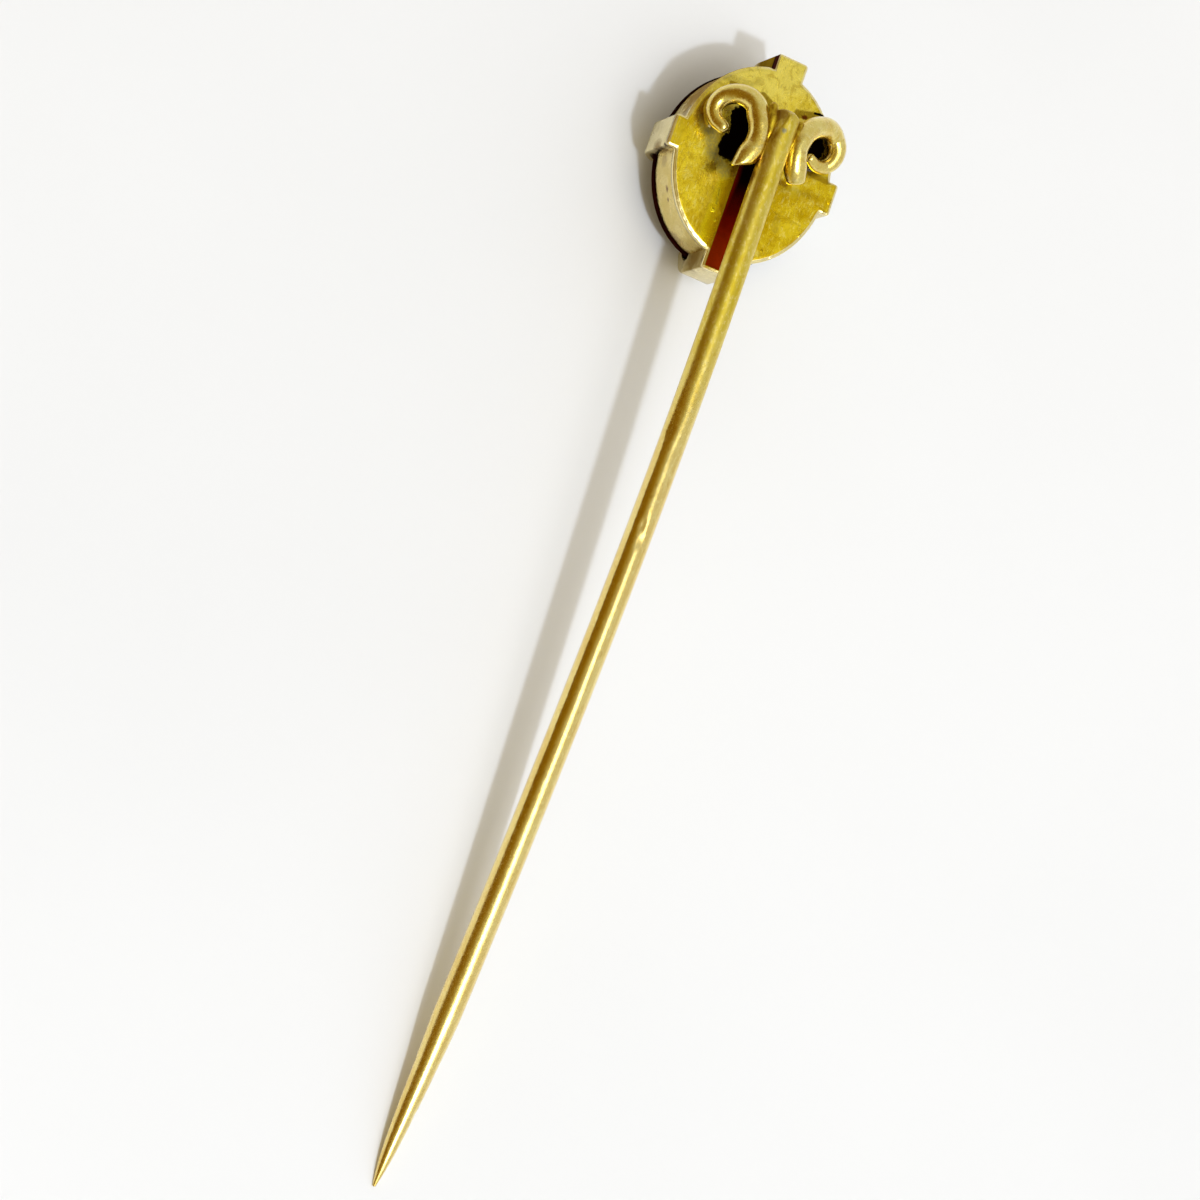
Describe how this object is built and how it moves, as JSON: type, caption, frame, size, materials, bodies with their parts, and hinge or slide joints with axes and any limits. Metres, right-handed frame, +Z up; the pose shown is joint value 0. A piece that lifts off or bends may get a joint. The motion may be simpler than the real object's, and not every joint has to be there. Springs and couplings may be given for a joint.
{
  "type": "stick pin",
  "caption": "Antique gold stick pin with an oval claw-set head, a scrolled back and a long bowed stem, lying on its face.",
  "frame": {"origin": "middle of the pin's own box, at the height of the table that the pin lies on", "axes": "+X along the pin from its point to its head, +Y to the side of the more open scroll, +Z up off the table"},
  "size_m": [0.0599, 0.0094, 0.0079],
  "materials": {
    "gold": "worn satin yellow gold, polished on the stem and scrolls",
    "garnet": "polished dark red cabochon"
  },
  "bodies": {
    "root": {"setting": "gold", "stone": "garnet"}
  },
  "joints": []
}
